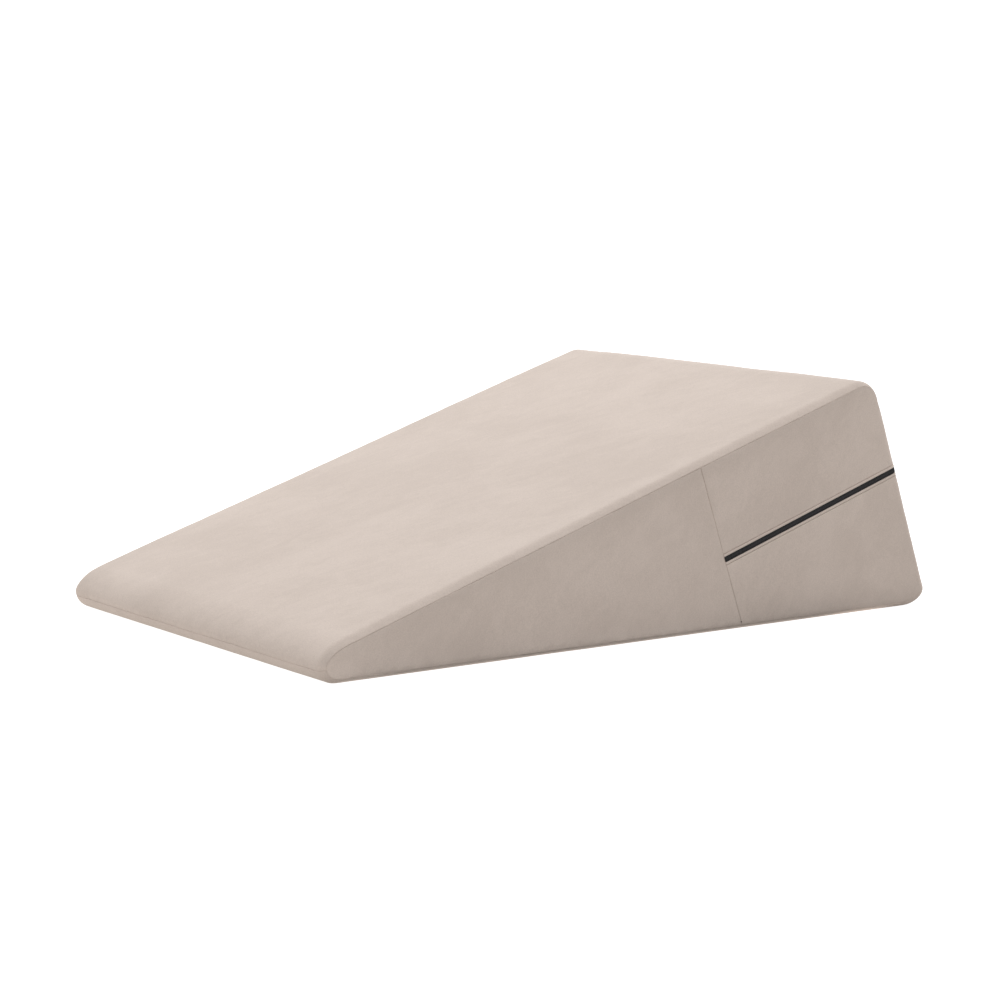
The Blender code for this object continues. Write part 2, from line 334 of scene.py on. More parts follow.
def outline(wedge):
    """Stations from the foot of the nose over the slope, down the back and along the base."""
    sizes = wedge.sizes
    rows = wedge.seam_rows()
    fine = math.radians(4.5)
    low = wedge.nose_low.stations(fine)
    high = wedge.nose_high.stations(fine)
    if sizes.nose_seam_turn > math.pi:
        low = wedge.nose_low.stations(fine, rows, sizes.nose_seam_turn)
    else:
        high = wedge.nose_high.stations(fine, rows, sizes.nose_seam_turn)
    nose = low + high[1:]
    top = wedge.top.stations(fine)
    heel = wedge.heel.stations(fine, rows, sizes.heel_seam_turn)
    on_slope = []
    on_base = []
    for along, depth in rows:
        low_end, high_end = upright_line(wedge, along)
        on_slope.append(((high_end - nose[-1].place).dot(wedge.slope_along), 0))
        on_base.append((heel[-1].place.y - low_end.y, 0))
    seam_at = sizes.back_seam_drop - (wedge.top_corner - top[-1].place).length
    on_back = [(seam_at + along, depth) for along, depth in rows]
    for across in wedge.zip_rows():
        on_back.append(((top[-1].place - zip_row_end(wedge, across)).dot(wedge.back_up), 0))
    slope = run_stations(nose[-1].place, top[0].place, wedge.slope_normal, sizes.step, on_slope)
    back = run_stations(top[-1].place, heel[0].place, wedge.back_normal, sizes.step, on_back)
    base = run_stations(heel[-1].place, nose[0].place, -UP, 1.6 * sizes.step, on_base[::-1])
    return label_stations(nose + slope + top + back + heel + base, wedge)


def upright_line(wedge, along):
    """Ends of a row of the upright seam, at a distance from its middle, on the rim of the side face."""
    foot = wedge.seam_foot + wedge.back_normal * along
    low = meet(UP * wedge.rim, turn(0), foot, wedge.back_up)
    high = meet(wedge.slope_start - wedge.slope_normal * wedge.rim, wedge.slope_along, foot, wedge.back_up)
    return low, high


def zip_row_start(wedge, across):
    """Start of a row along the zip, at the upright seam."""
    line = wedge.zip_line + wedge.slope_normal * across
    return meet(line, wedge.slope_along, wedge.seam_foot, wedge.back_up)


def zip_row_end(wedge, across):
    """End of a row along the zip, where the side face meets the round of the back edge."""
    line = wedge.zip_line + wedge.slope_normal * across
    return meet(line, wedge.slope_along, wedge.back_edge, wedge.back_up)


def label_stations(stations, wedge):
    """Give each station its panel, and its way along the cloth from the nose seam."""
    seams = [i for i, s in enumerate(stations) if s.depth == wedge.sizes.seam_depth]
    nose_seam, back_seam, heel_seam = seams
    ways = [0.0]
    for before, after in zip(stations, stations[1:]):
        ways.append(ways[-1] + (after.place - before.place).length)
    for i, station in enumerate(stations):
        station.way = ways[i] - ways[nose_seam]
        height = (station.place - wedge.zip_corner).dot(wedge.back_up)
        if nose_seam <= i < back_seam:
            station.panel = TOP
        elif back_seam <= i < heel_seam:
            station.panel = UPPER_BAND if height > 0 else LOWER_BAND
        else:
            station.panel = BOTTOM
    wedge.seam_ways = [stations[i].way for i in seams]
    return stations


def sewn(wedge, place):
    """1 where the side edge is a sewn roll, 0 where the band wraps round the back."""
    sizes = wedge.sizes
    fade = 0.020
    wrap_reach = 0.0177
    below_seam = (wedge.top_corner - place).dot(wedge.back_up) - sizes.back_seam_drop
    above_heel = place.z - wedge.heel_seam_place.z
    from_back = (place - wedge.heel_corner).dot(wedge.back_normal) + wrap_reach
    wrap = smooth_step(0, fade, below_seam) * smooth_step(0, fade, above_heel)
    return 1 - wrap * smooth_step(-fade, 0, from_back)


def bend(sizes, last_turn, samples=200):
    """Rolled edge, bent early and then nearly straight, as (way in, drop, turn) for unit length."""
    curve = [(0.0, 0.0, 0.0)]
    for i in range(samples):
        turned = last_turn * (1 - (1 - (i + 0.5) / samples) ** sizes.roll_bend)
        way, drop, _ = curve[-1]
        curve.append((way + math.cos(turned) / samples, drop + math.sin(turned) / samples, turned))
    return curve


def roll_section(sizes):
    """Rolled side edge up to its seam: distance in from the side, inset, and the normal's angle."""
    wanted = sizes.roll_drop / sizes.roll_width
    turns = [math.radians(0.25 * i) for i in range(40, 340)]
    slants = []
    for last_turn in turns:
        way, drop, _ = bend(sizes, last_turn, 20)[-1]
        slants.append(drop / way)
    last_turn = turns[nearest(slants, wanted)]
    curve = bend(sizes, last_turn)
    scale = sizes.roll_width / curve[-1][0]
    length = len(curve) - 1
    stop = length - round(length * sizes.seam_round / scale)
    section = []
    for i in range(ROLL_STEPS):
        way, drop, turned = curve[round(stop * i / (ROLL_STEPS - 1))]
        section.append((sizes.roll_width - way * scale, drop * scale, turned))
    seam = Vector((0, sizes.roll_drop))
    start = Vector(section[-1][:2])
    end = Vector((0, sizes.roll_drop + sizes.lip_round))
    inward = Vector((math.cos(last_turn / 2), math.sin(last_turn / 2)))
    bottom = seam + inward * sizes.seam_depth
    for t in (0.35, 0.65, 0.85, 1):
        section.append((*bezier(start, seam, bottom, t), last_turn))
    for t in (0.15, 0.35, 0.65, 1):
        section.append((*bezier(bottom, seam, end, t), math.pi / 2))
    return section


def edge_section(wedge, weight, seam_share):
    """Round the side edge, from a plain round at weight 0 to a sewn roll at weight 1."""
    sizes = wedge.sizes
    section = []
    for i, (side, inset, normal_turn) in enumerate(wedge.roll):
        angle = math.pi / 2 * i / (len(wedge.roll) - 1)
        if i >= ROLL_STEPS:
            side *= seam_share
        plain = (sizes.wrap_radius * (1 - math.sin(angle)), sizes.wrap_radius * (1 - math.cos(angle)), angle)
        section.append([p + (s - p) * weight for p, s in zip(plain, (side, inset, normal_turn))])
    return section


def bezier(start, control, end, t):
    return start * (1 - t) ** 2 + control * 2 * t * (1 - t) + end * t * t


def top_relief(wedge, station, x, to_side):
    """Height of the cloth over the plain wedge, away from the side faces."""
    sizes = wedge.sizes
    seed = 3.7 * (station.panel + 1)
    way = station.way
    if station.panel == BOTTOM:
        return 0.25 * sizes.lumps * min(wobble(x, way, 0.07, seed), 0)
    rise = sizes.lumps * (wobble(x, way, 0.13, seed) + 0.4 * wobble(x, way, 0.05, seed + 1))
    rise *= smooth_step(0.004, 0.05, to_side)
    to_seam = min(abs(way - seam) for seam in wedge.seam_ways)
    pucker = wobble(x, 0.3 * way, 0.011, seed + 2) + 0.8 * wobble(x, 0.3 * way, 0.024, seed + 4)
    gather = sizes.gather * (0.5 + 0.5 * smooth_step(0.01, 0.06, abs(way)))
    rise += gather * pucker * math.exp(-to_seam / 0.016) * smooth_step(0, 0.012, to_side)
    pucker = wobble(0.3 * x, way, 0.017, seed + 5) + 0.6 * wobble(0.3 * x, way, 0.04, seed + 6)
    rise += 0.7 * sizes.gather * pucker * math.exp(-max(to_side, 0) / 0.014)
    if (station.normal - wedge.slope_normal).length < 0.001:
        along = (station.place - wedge.slope_start).dot(wedge.slope_along) / wedge.slope_length
        across = 2 * x / WIDTH
        rise += sizes.crown * (1 - across * across) * 4 * along * (1 - along)
    if station.panel == TOP:
        to_top = (wedge.top_corner - station.place).dot(wedge.slope_along)
        plump = sizes.plump * smooth_step(0, 0.05, way) * smooth_step(0, 0.15, to_top)
        rise += plump * smooth_step(-0.002, 0.012, to_side)
        forward = way / sizes.front_reach
        fill = sizes.front_fill * (forward * math.exp(1 - forward)) ** 2
        rise += fill * smooth_step(0, 0.05, to_side if x > 0 else 1)
        to_back_seam = wedge.seam_ways[1] - way
        top_crown = sizes.top_crown * smooth_step(0.35, 0, to_top) * smooth_step(0, 0.03, to_back_seam)
        rise += top_crown * (1 - (2 * x / WIDTH) ** 2)
    if station.panel in (UPPER_BAND, LOWER_BAND):
        from_zip = (station.place - wedge.zip_corner).dot(wedge.back_up)
        rise = rise * smooth_step(0.004, 0.02, abs(from_zip)) + lip_height(from_zip)
    return rise


def side_relief(wedge, place, side):
    """Height of the side face's cloth over its plane, with its upright seam and the zip."""
    sizes = wedge.sizes
    from_seam = (place - wedge.seam_foot).dot(wedge.back_normal)
    seed = 20 + 7 * side
    panel = side_panel(wedge, place, side)
    rise = sizes.lumps * 0.8 * wobble(place.y, place.z, 0.11, seed + panel)
    rise += sizes.lumps * 0.3 * wobble(place.y, place.z, 0.045, seed + 9)
    pucker = wobble(from_seam, place.z, 0.016, seed + 3)
    rise += 0.6 * sizes.gather * pucker * math.exp(-abs(from_seam) / 0.012)
    valley = 0.0
    if abs(from_seam) < sizes.seam_round:
        valley = -sizes.seam_depth * (1 - math.sqrt(abs(from_seam) / sizes.seam_round)) ** 2
        valley *= 0.45 + 0.55 * smooth_step(0.08, 0.2, place.z)
    if from_seam < 0.01 * MM:
        return rise + valley
    from_zip = (place - wedge.zip_line).dot(wedge.slope_normal)
    lip = lip_height(from_zip)
    return rise * smooth_step(0.004, 0.02, abs(from_zip)) + min(valley, lip) + max(lip, 0)


def side_panel(wedge, place, side):
    if (place - wedge.seam_foot).dot(wedge.back_normal) < 0:
        return RIGHT_GUSSET if side > 0 else LEFT_GUSSET
    above = (place - wedge.zip_line).dot(wedge.slope_normal) > 0
    return UPPER_BAND if above else LOWER_BAND


def fill_side(bm, wedge, ring, places, side):
    """Close one side face: its seams, the rows along the zip, and an even net of points between."""
    step = wedge.sizes.step
    points = [Vector((p.y, p.z)) for p in places]
    count = len(points)
    edges = [(i, (i + 1) % count) for i in range(count)]
    rim = point_tree(points)

    def add_line(start, end):
        pieces = max(1, round((end - start).length / step))
        chain = []
        for i in range(pieces + 1):
            place = start.lerp(end, i / pieces)
            _, on_rim, distance = rim.find((place.y, place.z, 0))
            if distance < 0.05 * MM:
                chain.append(on_rim)
            else:
                chain.append(len(points))
                points.append(Vector((place.y, place.z)))
        edges.extend(zip(chain, chain[1:]))

    for along, _ in wedge.seam_rows():
        add_line(*upright_line(wedge, along))
    for across in wedge.zip_rows():
        add_line(zip_row_start(wedge, across), zip_row_end(wedge, across))
    taken = point_tree(points)
    net = 1.3 * step
    for i in range(int(LENGTH / net) + 2):
        for j in range(int(CUSHION_HIGH.z / net) + 8):
            along = wedge.slope_along * net * (i + 0.5 * (j % 2))
            place = wedge.slope_start + along - wedge.slope_normal * net * j
            if place.z > 0 and taken.find((place.y, place.z, 0))[2] > 0.6 * step:
                points.append(Vector((place.y, place.z)))
    verts, _, faces, origins, _, _ = delaunay_2d_cdt(points, edges, [list(range(count))], 1, 1e-7)
    places = [Vector((0, v.x, v.y)) for v in verts]
    made = {}
    for i in {i for face in faces for i in face}:
        on_ring = [k for k in origins[i] if k < count]
        if on_ring:
            made[i] = ring[on_ring[0]]
        else:
            x = side * (WIDTH / 2 + side_relief(wedge, places[i], side))
            made[i] = bm.verts.new(places[i] + RIGHT * x)
    # Painted shade on the side face: darker just below the slope's rolled edge, and a little above the base
    # towards the back
    for i, vert in made.items():
        below = (wedge.slope_start - places[i]).dot(wedge.slope_normal) - wedge.rim
        seam_shade = 0.6 * math.exp(-max(below, 0) / 0.01)
        vert[bm.verts.layers.float["pressed"]] = seam_shade + pressed_foot(places[i])
    panel_layer = bm.faces.layers.int["panel"]
    for face in faces:
        new = bm.faces.new([made[i] for i in face])
        middle = sum((places[i] for i in face), Vector()) / len(face)
        new[panel_layer] = side_panel(wedge, middle, side)


def pressed_foot(place):
    """Painted shade on the side a little above the base, towards the back."""
    lift = max(place.z, 0) / 0.009
    return 0.9 * lift * math.exp(1 - lift) * smooth_step(0.45, 0.78, (place.y - CUSHION_LOW.y) / LENGTH)


def point_tree(points):
    tree = kdtree.KDTree(len(points))
    for i, point in enumerate(points):
        tree.insert((*point, 0), i)
    tree.balance()
    return tree


def cover_mesh(wedge):
    """The whole cover as one closed mesh, with the number of its panel on each face and a painted shade
    weight on each point.
    """
    bm = bmesh.new()
    panel_layer = bm.faces.layers.int.new("panel")
    pressed_layer = bm.verts.layers.float.new("pressed")
    stations = outline(wedge)
    columns = []
    rings = {-1: [], 1: []}
    for station in stations:
        weight = sewn(wedge, station.place)
        edge = edge_section(wedge, weight, 1 - 0.6 * smooth_step(0.05, 0.015, abs(station.way)))
        depth = station.depth * (wedge.sizes.nose_share if abs(station.way) < 0.01 else 1)
        # Painted shade on the upward rolled side edges, weaker up the slope, and on the top panel beside the
        # nose's corners
        up_slope = smooth_step(0.4, 0.85, (station.place.y - CUSHION_LOW.y) / LENGTH)
        pressed = weight * (0.37 - 0.26 * up_slope) * smooth_step(0, 0.5, station.normal.z)
        by_tip = smooth_step(0.055, 0.014, station.way) * smooth_step(0, 0.012, station.way)
        tip_pressed = 0.9 * by_tip if station.panel == TOP else 0
        flat = WIDTH / 2 - edge[0][0]
        count = round(WIDTH / wedge.sizes.step)
        middle = [(flat * (2 * i / count - 1), 0, 0) for i in range(1, count)]
        right = [(WIDTH / 2 - side, inset, angle) for side, inset, angle in edge]
        left = [(-x, inset, -angle) for x, inset, angle in reversed(right)]
        column = []
        for x, inset, angle in left + middle + right:
            side = 1 if x > 0 else -1
            rise = top_relief(wedge, station, x, WIDTH / 2 - abs(x)) - depth
            base = station.place - station.normal * inset
            if abs(angle) > 1.2:
                share = smooth_step(1.2, math.pi / 2, abs(angle))
                rise += (side_relief(wedge, base, side) - rise) * share
            outward = station.normal * math.cos(angle) + RIGHT * math.sin(angle)
            vert = bm.verts.new(base + RIGHT * x + outward * rise)
            vert[pressed_layer] = (pressed * smooth_step(0.1, 0.6, abs(angle))
                                   + tip_pressed * smooth_step(0.2, 1, abs(angle)))
            column.append(vert)
        columns.append(column)
        rings[-1].append(station.place - station.normal * left[0][1])
        rings[1].append(station.place - station.normal * right[-1][1])
    for i, column in enumerate(columns):
        following = columns[(i + 1) % len(columns)]
        for j in range(len(column) - 1):
            face = bm.faces.new((column[j], column[j + 1], following[j + 1], following[j]))
            face[panel_layer] = stations[i].panel
    fill_side(bm, wedge, [c[0] for c in columns], rings[-1], -1)
    fill_side(bm, wedge, [c[-1] for c in columns], rings[1], 1)
    return mesh_from(bm, "cover")


def zip_path(wedge, across, height, step=0.0015):
    """Places and outward normals at a distance across from the zip's middle, from right to left."""
    start = zip_row_start(wedge, across)
    end = zip_row_end(wedge, across)
    radius = wedge.sizes.wrap_radius
    flat = WIDTH / 2 - radius
    path = []
    count = round((end - start).length / step)
    for i in range(count):
        path.append((start.lerp(end, i / count) + RIGHT * (WIDTH / 2 + height), RIGHT))
    count = round(math.pi / 2 * radius / step)
    for i in range(count + 1):
        angle = math.pi / 2 * i / count
        out = RIGHT * math.cos(angle) + wedge.back_normal * math.sin(angle)
        path.append((end + RIGHT * flat + out * (radius + height), out))
    count = round(flat / step)
    for i in range(1, count + 1):
        out = wedge.back_normal
        path.append((end + RIGHT * flat * (1 - i / count) + out * (radius + height), out))
    mirror = Vector((-1, 1, 1))
    return path + [(place * mirror, out * mirror) for place, out in path[-2::-1]]


def trimmed(path, start, end):
    """The path without some of its length at each end."""
    ways = [0.0]
    for (before, _), (after, _) in zip(path, path[1:]):
        ways.append(ways[-1] + (after - before).length)
    return [point for point, way in zip(path, ways) if start <= way <= ways[-1] - end]


def strip_mesh(name, wedge, section, step, cut):
    """Closed strip along the zip. The section is a loop of (across, height) pairs in millimetres."""
    bm = bmesh.new()
    weave = bm.loops.layers.uv.new("weave")
    lines = [trimmed(zip_path(wedge, MM * across, MM * height, step), cut, cut)
             for across, height in section]
    count = min(len(line) for line in lines)
    rows = [[bm.verts.new(place) for place, _ in line[:count]] for line in lines]
    for k, row in enumerate(rows):
        after = rows[(k + 1) % len(rows)]
        sides = (section[k][0], section[(k + 1) % len(rows)][0])
        for i in range(count - 1):
            face = bm.faces.new((row[i], row[i + 1], after[i + 1], after[i]))
            uvs = [(i, sides[0]), (i + 1, sides[0]), (i + 1, sides[1]), (i, sides[1])]
            for loop, (along, across) in zip(face.loops, uvs):
                loop[weave].uv = (along * step / MM, across)
    bm.faces.new([row[0] for row in rows])
    bm.faces.new([row[-1] for row in reversed(rows)])
    return mesh_from(bm, name, 50)


def join_rings(bm, rings):
    """Faces between each ring of points and the next one."""
    for ring, after in zip(rings, rings[1:]):
        for i in range(len(ring)):
            j = (i + 1) % len(ring)
            bm.faces.new((ring[i], ring[j], after[j], after[i]))


def add_tube(bm, centres, radius, sides):
    """Closed round tube through the centres."""
    rings = []
    for i, centre in enumerate(centres):
        along = (centres[min(i + 1, len(centres) - 1)] - centres[max(i - 1, 0)]).normalized()
        turned = along.to_track_quat("Z", "X")
        ring = []
        for k in range(sides):
            angle = FULL_TURN * k / sides
            spoke = Vector((math.cos(angle) * radius, math.sin(angle) * radius, 0))
            ring.append(bm.verts.new(centre + turned @ spoke))
        rings.append(ring)
    join_rings(bm, rings)
    bm.faces.new(rings[0])
    bm.faces.new(rings[-1])


def mesh_from(bm, name, sharp=None):
    """Finished mesh with its faces outward. Edges sharper than the angle stay sharp."""
    bmesh.ops.recalc_face_normals(bm, faces=bm.faces)
    mesh = bpy.data.meshes.new(name)
    bm.to_mesh(mesh)
    bm.free()
    mesh.shade_smooth()
    if sharp:
        mesh.set_sharp_from_angle(angle=math.radians(sharp))
    return mesh


def tube_mesh(name, centres, radius, sides=5):
    bm = bmesh.new()
    add_tube(bm, centres, radius, sides)
    return mesh_from(bm, name)


def new_object(name, data):
    made = bpy.data.objects.new(name, data)
    bpy.context.scene.collection.objects.link(made)
    return made


def finished_mesh(holder):
    """Mesh of an object with its modifiers applied."""
    evaluated = holder.evaluated_get(bpy.context.evaluated_depsgraph_get())
    return bpy.data.meshes.new_from_object(evaluated)


class NodeTree:
    """Short way to add and link the nodes of one tree."""

    def __init__(self, tree):
        self.tree = tree
        self.tree.nodes.clear()

    def add(self, kind, inputs=None, **settings):
        """Add a node. Inputs are given by name or number, as sockets to link or as plain values."""
        node = self.tree.nodes.new(kind)
        for name, value in settings.items():
            setattr(node, name, value)
        for key, value in (inputs or {}).items():
            if isinstance(value, bpy.types.NodeSocket):
                self.tree.links.new(value, node.inputs[key])
            else:
                node.inputs[key].default_value = value
        return node

    def value(self, kind, inputs=None, **settings):
        """First output of a new node."""
        return self.add(kind, inputs, **settings).outputs[0]

    def calc(self, operation, *values):
        """Result of one calculation."""
        return self.value("ShaderNodeMath", dict(enumerate(values)), operation=operation)

    def spread(self, value, low, high, to_low=0.0, to_high=1.0, **settings):
        """The value mapped from low and high to two others, and held between them."""
        return self.value("ShaderNodeMapRange", {"Value": value, "From Min": low, "From Max": high,
                                                 "To Min": to_low, "To Max": to_high}, **settings)

    def bump(self, height, strength, distance):
        return self.value("ShaderNodeBump", {"Height": height, "Strength": strength, "Distance": distance})

    def place(self):
        return self.add("ShaderNodeTexCoord").outputs["Object"]


REPEAT_INPUTS = (
    ("Path", "NodeSocketGeometry"), ("Piece", "NodeSocketObject"), ("Material", "NodeSocketMaterial"),
    ("Pitch", "NodeSocketFloat"), ("Alternate Turn", "NodeSocketFloat"), ("Jitter", "NodeSocketFloat"),
    ("Seed", "NodeSocketInt"),
)


def repeat_tree():
    """Node tree that sets copies of a piece along a path, Z outwards, every other copy turned."""
    tree = bpy.data.node_groups.new("repeat_along_path", "GeometryNodeTree")
    nodes = NodeTree(tree)
    for name, kind in REPEAT_INPUTS:
        tree.interface.new_socket(name, in_out="INPUT", socket_type=kind)
    tree.interface.new_socket("Copies", in_out="OUTPUT", socket_type="NodeSocketGeometry")
    given = nodes.add("NodeGroupInput").outputs
    curve = nodes.value("GeometryNodeMeshToCurve", {"Mesh": given["Path"]})
    places = nodes.value("GeometryNodeResampleCurve", {"Curve": curve, "Length": given["Pitch"]},
                         mode="LENGTH")
    out = nodes.value("GeometryNodeInputNamedAttribute", {"Name": "out"}, data_type="FLOAT_VECTOR")
    tangent = nodes.value("GeometryNodeInputTangent")
    upright = nodes.value("FunctionNodeAlignRotationToVector", {"Vector": out}, axis="Z")
    facing = nodes.value("FunctionNodeAlignRotationToVector", {"Rotation": upright, "Vector": tangent},
                         axis="X", pivot_axis="Z")
    other = nodes.calc("MODULO", nodes.value("GeometryNodeInputIndex"), 2.0)
    jitter = nodes.add("FunctionNodeRandomValue", {"Seed": given["Seed"]}, data_type="FLOAT").outputs[1]
    swung = nodes.calc("MULTIPLY", nodes.spread(jitter, 0.0, 1.0, -1.0, 1.0), given["Jitter"])
    turned = nodes.calc("MULTIPLY_ADD", other, given["Alternate Turn"], swung)
    spin = nodes.value("FunctionNodeAxisAngleToRotation", {"Axis": (0, 0, 1), "Angle": turned})
    final = nodes.value("FunctionNodeRotateRotation", {0: facing, 1: spin}, rotation_space="LOCAL")
    piece = nodes.add("GeometryNodeObjectInfo", {"Object": given["Piece"]}).outputs["Geometry"]
    copies = nodes.value("GeometryNodeInstanceOnPoints",
                         {"Points": places, "Instance": piece, "Rotation": final})
    real = nodes.value("GeometryNodeRealizeInstances", {0: copies})
    dressed = nodes.value("GeometryNodeSetMaterial", {"Geometry": real, "Material": given["Material"]})
    nodes.add("NodeGroupOutput", {0: dressed})
    return tree


def repeated(name, paths, piece_mesh, material, pitch, alternate=0.0, jitter=0.0, seed=1):
    """Mesh of copies of a piece along paths of (place, outward normal) pairs."""
    mesh = bpy.data.meshes.new(name + "_path")
    points = [point for path in paths for point in path]
    edges = []
    first = 0
    for path in paths:
        edges += [(i, i + 1) for i in range(first, first + len(path) - 1)]
        first += len(path)
    mesh.from_pydata([place for place, _ in points], edges, [])
    out = mesh.attributes.new("out", "FLOAT_VECTOR", "POINT")
    for i, (_, normal) in enumerate(points):
        out.data[i].vector = normal
    piece = new_object(name + "_piece", piece_mesh)
    made = new_object(name + "_path", mesh)
    tree = repeat_tree()
    modifier = made.modifiers.new("repeat", "NODES")
    modifier.node_group = tree
    values = {"Piece": piece, "Material": material, "Pitch": pitch, "Alternate Turn": alternate,
              "Jitter": jitter, "Seed": seed}
    for item in tree.interface.items_tree:
        if item.name in values:
            modifier[item.identifier] = values[item.name]
    finished = finished_mesh(made)
    finished.name = name
    made.modifiers.clear()
    for helper in (made, piece):
        bpy.data.objects.remove(helper, do_unlink=True)
    if not finished.polygons:
        raise RuntimeError(f"{name} has no faces")
    return finished


def seam_end_mesh(wedge):
    """Small dark knots of thread at the feet of the two upright seams, with cut ends."""
    bm = bmesh.new()
    lift = 0.0036
    loop_radius = 0.00042
    thread_radius = 0.0003
    end_radius = 0.00018
    foot = upright_line(wedge, 0.0)[0] + wedge.back_up * lift
    for side in (1, -1):
        middle = foot + RIGHT * side * (WIDTH / 2 + 0.0001)
        loop = []
        for i in range(19):
            angle = FULL_TURN * i / 9
            out = RIGHT * side * 0.00035 * i / 18
            loop.append(middle + out + Vector((0, math.cos(angle), math.sin(angle))) * loop_radius)
        add_tube(bm, loop, thread_radius, 6)
        for lean, length in ((0.4, 0.0012), (-0.5, 0.0009)):
            end = middle + Vector((side * 0.0004, length * lean, -length))
            bowed = middle.lerp(end, 0.5) + RIGHT * side * 0.0002
            add_tube(bm, [middle, bowed, end], end_radius, 5)
    return mesh_from(bm, "seam_ends")


def zip_frame(wedge, way, across=0.0, height=0.0):
    """Matrix of a place on the left part of the zip: X towards the closed end, Z outwards."""
    path = zip_path(wedge, across, height, 0.0005)[::-1]
    travelled = 0.0
    for (place, out), (after, _) in zip(path, path[1:]):
        travelled += (after - place).length
        if travelled >= way:
            break
    along = (place - after).normalized()
    side = out.cross(along)
    matrix = Matrix((along, side, out)).transposed().to_4x4()
    matrix.translation = place
    return matrix


def prism(bm, outline_points, low, high):
    """Upright prism over a flat outline, in millimetres."""
    rows = [[bm.verts.new(Vector((x, y, z)) * MM) for x, y in outline_points] for z in (low, high)]
    join_rings(bm, rows)
    bm.faces.new(rows[0][::-1])
    bm.faces.new(rows[1])


def rounded(mesh, width):
    """The mesh with its sharp edges rounded, as a new mesh."""
    holder = new_object("rounding", mesh)
    bevel = holder.modifiers.new("bevel", "BEVEL")
    bevel.width = width
    bevel.segments = 3
    bevel.limit_method = "ANGLE"
    bevel.angle_limit = math.radians(35)
    bevel.use_clamp_overlap = True
    finished = finished_mesh(holder)
    bpy.data.objects.remove(holder, do_unlink=True)
    finished.shade_smooth()
    finished.set_sharp_from_angle(angle=math.radians(40))
    return finished


def both_sides(half):
    """Outline made of its upper half and the mirror image of it."""
    return half + [(x, -y) for x, y in reversed(half)]


def slider_mesh(wedge):
    """Slider: a waisted top plate with shoulders, and a low bridge that holds the pull."""
    bm = bmesh.new()
    half = [(-5.2, 1.5), (-4.6, 1.95), (-1.0, 2.1), (1.6, 2.7), (4.0, 2.75), (5.0, 2.2), (5.3, 1.0)]
    prism(bm, both_sides(half), -0.35, 0.85)
    foot = both_sides([(-3.6, 0.7), (-2.4, 0.7)])
    prism(bm, foot, 0.8, 2.2)
    prism(bm, [(x + 5.6, y) for x, y in foot], 0.8, 2.2)
    prism(bm, both_sides([(-3.6, 0.7), (3.2, 0.7)]), 2.1, 2.9)
    bm.transform(zip_frame(wedge, SLIDER_WAY))
    return rounded(mesh_from(bm, "zip_slider"), 0.3 * MM)


def ring_prism(bm, outer, inner, low, high):
    """Flat ring between two outlines with the same number of points, in millimetres."""
    rows = [[bm.verts.new(Vector((x, y, z)) * MM) for x, y in points]
            for points, z in ((outer, low), (outer, high), (inner, high), (inner, low))]
    join_rings(bm, rows + rows[:1])


def pull_mesh(wedge):
    """Flat pull with a square eye round the slider's bridge, and a raised grip."""
    bm = bmesh.new()
    ring_prism(bm, both_sides([(2.3, 1.5), (1.8, 1.9), (-2.4, 1.9)]),
               both_sides([(1.1, 0.8), (0.9, 1.0), (-1.2, 1.0)]), 1.25, 2.05)
    grip = [(-2.0, 1.2), (-4.5, 1.35), (-15.0, 2.2), (-17.6, 1.9), (-18.7, 0.9)]
    prism(bm, both_sides(grip), 1.2, 2.0)
    rim = [(-5.2, 1.0), (-14.9, 1.75), (-17.1, 1.5), (-17.9, 0.7)]
    prism(bm, both_sides(rim), 1.9, 2.3)
    bm.transform(zip_frame(wedge, SLIDER_WAY))
    return rounded(mesh_from(bm, "zip_pull"), 0.18 * MM)


def new_material(name):
    made = bpy.data.materials.new(name)
    made.use_nodes = True
    return made, NodeTree(made.node_tree)


def finish_material(nodes, inputs, specular=0.5, **constants):
    """Shader and output of a material. Constants are set on the shader's own sockets."""
    shader = nodes.add("ShaderNodeBsdfPrincipled", inputs)
    shader.inputs["Specular IOR Level"].default_value = specular
    for name, value in constants.items():
        shader.inputs[name.replace("_", " ")].default_value = value
    nodes.add("ShaderNodeOutputMaterial", {"Surface": shader.outputs[0]})


def rgba(colour):
    return (*colour, 1)


def toned(nodes, colour, factor, low, high):
    """The colour, darker and lighter with a factor from 0 to 1."""
    tone = nodes.spread(factor, 0.0, 1.0, low, high)
    return nodes.value("ShaderNodeVectorMath", {0: colour, "Scale": tone}, operation="SCALE")


def noise_of(nodes, place, scale, detail=2.0, roughness=0.5, distortion=0.0):
    made = nodes.add("ShaderNodeTexNoise", {"Vector": place, "Scale": scale, "Detail": detail,
                                            "Roughness": roughness, "Distortion": distortion})
    return made.outputs["Fac"]


def streaked(nodes, place, turned, stretch):
    """Place stretched along one slanting direction, for the marks of a brush."""
    return nodes.value("ShaderNodeMapping", {"Vector": place, "Rotation": turned, "Scale": stretch},
                       vector_type="TEXTURE")


